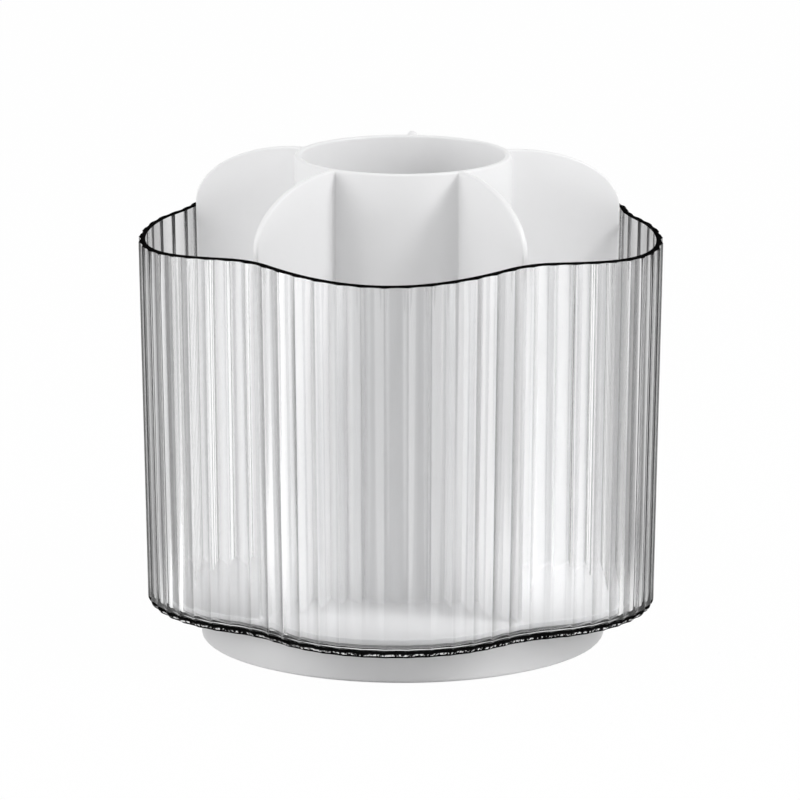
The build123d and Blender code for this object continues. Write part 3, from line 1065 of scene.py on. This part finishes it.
# Name, place and width of each lamp, in metres.
LAMPS = (("lamp_left", (-1.1, -0.5, 0.6), 0.9), ("lamp_right", (1.04, -0.34, 0.9), 0.4))
LAMP_AIM = (0, 0, 0.08)
# The camera's sensor width in millimetres, and how far it sees in metres.
SENSOR_WIDTH = 36
VIEW_REACH = 30


def seen_white(nodes):
    """1 for the camera's rays and for those that gloss or clear plastic sends on, else 0.

    Light that a matt surface has scattered on its way stays at the plain level.
    """
    path = nodes.add("ShaderNodeLightPath").outputs
    share = path["Is Camera Ray"]
    for name in ("Is Glossy Ray", "Is Transmission Ray"):
        share = nodes.math("MAXIMUM", share, path[name])
    return nodes.math("MULTIPLY", share, nodes.math("LESS_THAN", path["Diffuse Depth"], 0.5))


def floor_radius(nodes):
    """Distance of a floor point from the axis."""
    place = {0: nodes.coordinates["Object"]}
    return nodes.add("ShaderNodeVectorMath", place, operation="LENGTH").outputs["Value"]


def painted_reflection_light(nodes, stage):
    """Brightness of the floor: 1, but another where glossy rays, bent ones too, meet a painted
    reflection.
    """
    place = {"Vector": nodes.coordinates["Object"]}
    turn = nodes.add("ShaderNodeTexGradient", place, gradient_type="RADIAL").outputs["Fac"]
    ramp = nodes.add("ShaderNodeValToRGB", {"Fac": turn})
    elements = ramp.color_ramp.elements
    for element in elements:
        element.color = (1, 1, 1, 1)
    for start, end, reflected_level in PAINTED_REFLECTIONS:
        steps = (start - PAINTED_REFLECTION_EDGE, 1), (start, reflected_level), (end, reflected_level), (end + PAINTED_REFLECTION_EDGE, 1)
        for position, level in steps:
            elements.new(position).color = (*grey(level), 1)
    away = nodes.spread(floor_radius(nodes), start=stage.reflection_near, end=stage.reflection_full)
    gloss = nodes.math("MULTIPLY", nodes.add("ShaderNodeLightPath").outputs["Is Glossy Ray"], away)
    return nodes.spread(gloss, 1, ramp.outputs["Color"], start=0, end=1)


def add_floor(stage):
    """White floor, seen as plain white but for a patch without glow under the base."""
    half = stage.floor_size / 2
    mesh = bpy.data.meshes.new("floor")
    corners = [(x * half, y * half, 0) for x, y in ((-1, -1), (1, -1), (1, 1), (-1, 1))]
    mesh.from_pydata(corners, [], [(0, 1, 2, 3)])
    floor = bpy.data.objects.new("floor", mesh)
    bpy.context.scene.collection.objects.link(floor)
    nodes = new_finish("floor_white")
    matte = nodes.add("ShaderNodeBsdfDiffuse", {"Color": tuple(stage.floor_colour)})
    # The glow's strength carries the painted reflections, seen only by glossy rays.
    glow = nodes.add("ShaderNodeEmission", {"Color": grey(1), "Strength": painted_reflection_light(nodes, stage)})
    lit_from = stage.shadow_reach - stage.shadow_edge
    lit = nodes.spread(floor_radius(nodes), high=stage.floor_glow, start=lit_from, end=stage.shadow_reach)
    share = nodes.math("MULTIPLY", seen_white(nodes), lit)
    nodes.mix_shaders(share, matte.outputs["BSDF"], glow.outputs["Emission"])
    mesh.materials.append(nodes.owner)


def add_aimed(name, data, place, aim):
    """A lamp or the camera at its place, turned to a point."""
    made = bpy.data.objects.new(name, data)
    made.location = place
    made.rotation_euler = (Vector(aim) - Vector(place)).to_track_quat("-Z", "Y").to_euler()
    bpy.context.scene.collection.objects.link(made)
    return made


def add_light(stage):
    """White room, dimmer above, with a lamp on each side."""
    world = bpy.data.worlds.new("white_room")
    bpy.context.scene.world = world
    nodes = Nodes(world, "ShaderNodeOutputWorld")
    place = {"Vector": nodes.coordinates["Generated"]}
    height = nodes.add("ShaderNodeSeparateXYZ", place).outputs["Z"]
    plain = nodes.spread(height, stage.room, stage.ceiling, start=0, end=1)
    strength = nodes.spread(seen_white(nodes), plain, 1, start=0, end=1)
    background = nodes.add("ShaderNodeBackground", {"Color": grey(1), "Strength": strength})
    nodes.fill(nodes.output["Surface"], background.outputs["Background"])
    for (name, place, size), power in zip(LAMPS, (stage.left, stage.right)):
        lamp = bpy.data.lights.new(name, "AREA")
        lamp.size = size
        lamp.energy = power
        add_aimed(name, lamp, place, LAMP_AIM)


def add_camera(stage):
    """Camera at the photograph's angle."""
    turn, rise = stage.azimuth, stage.elevation
    back = Vector((cos(rise) * sin(turn), -cos(rise) * cos(turn), sin(rise)))
    right = Vector((cos(turn), sin(turn), 0))
    up = right.cross(-back)
    pivot = Vector((0, 0, stage.aim_height))
    aim = pivot - right * stage.aim_left - up * stage.aim_down
    lens = bpy.data.cameras.new("camera")
    lens.lens = stage.lens
    lens.sensor_width = SENSOR_WIDTH
    lens.clip_end = VIEW_REACH
    bpy.context.scene.camera = add_aimed("camera", lens, pivot + back * stage.distance, aim)


PIECES = (
    ORGANIZER_OT_clear_cup,
    ORGANIZER_OT_divider,
    ORGANIZER_OT_base,
    ORGANIZER_OT_bearing,
    ORGANIZER_OT_stage,
)


class ORGANIZER_PT_panel(bpy.types.Panel):
    """Lists the organizer's pieces"""

    bl_idname = "ORGANIZER_PT_panel"
    bl_label = "Makeup organizer"
    bl_space_type = "VIEW_3D"
    bl_region_type = "UI"
    bl_category = "Organizer"

    def draw(self, context):
        for piece in PIECES:
            self.layout.operator(piece.bl_idname)


CLASSES = (CupSizes, DividerSizes, BaseSizes, StageSizes, OrganizerSettings, *PIECES, ORGANIZER_PT_panel)


def register():
    """Adds the classes and the settings."""
    for made in CLASSES:
        bpy.utils.register_class(made)
    bpy.types.Scene.organizer = PointerProperty(type=OrganizerSettings)


def unregister():
    """Takes them away again."""
    del bpy.types.Scene.organizer
    for made in reversed(CLASSES):
        bpy.utils.unregister_class(made)


def main():
    """Builds everything."""
    register()
    bpy.ops.organizer.clear_cup()
    bpy.ops.organizer.divider()
    bpy.ops.organizer.base()
    bpy.ops.organizer.bearing()
    bpy.ops.organizer.stage()


if __name__ == "__main__":
    main()
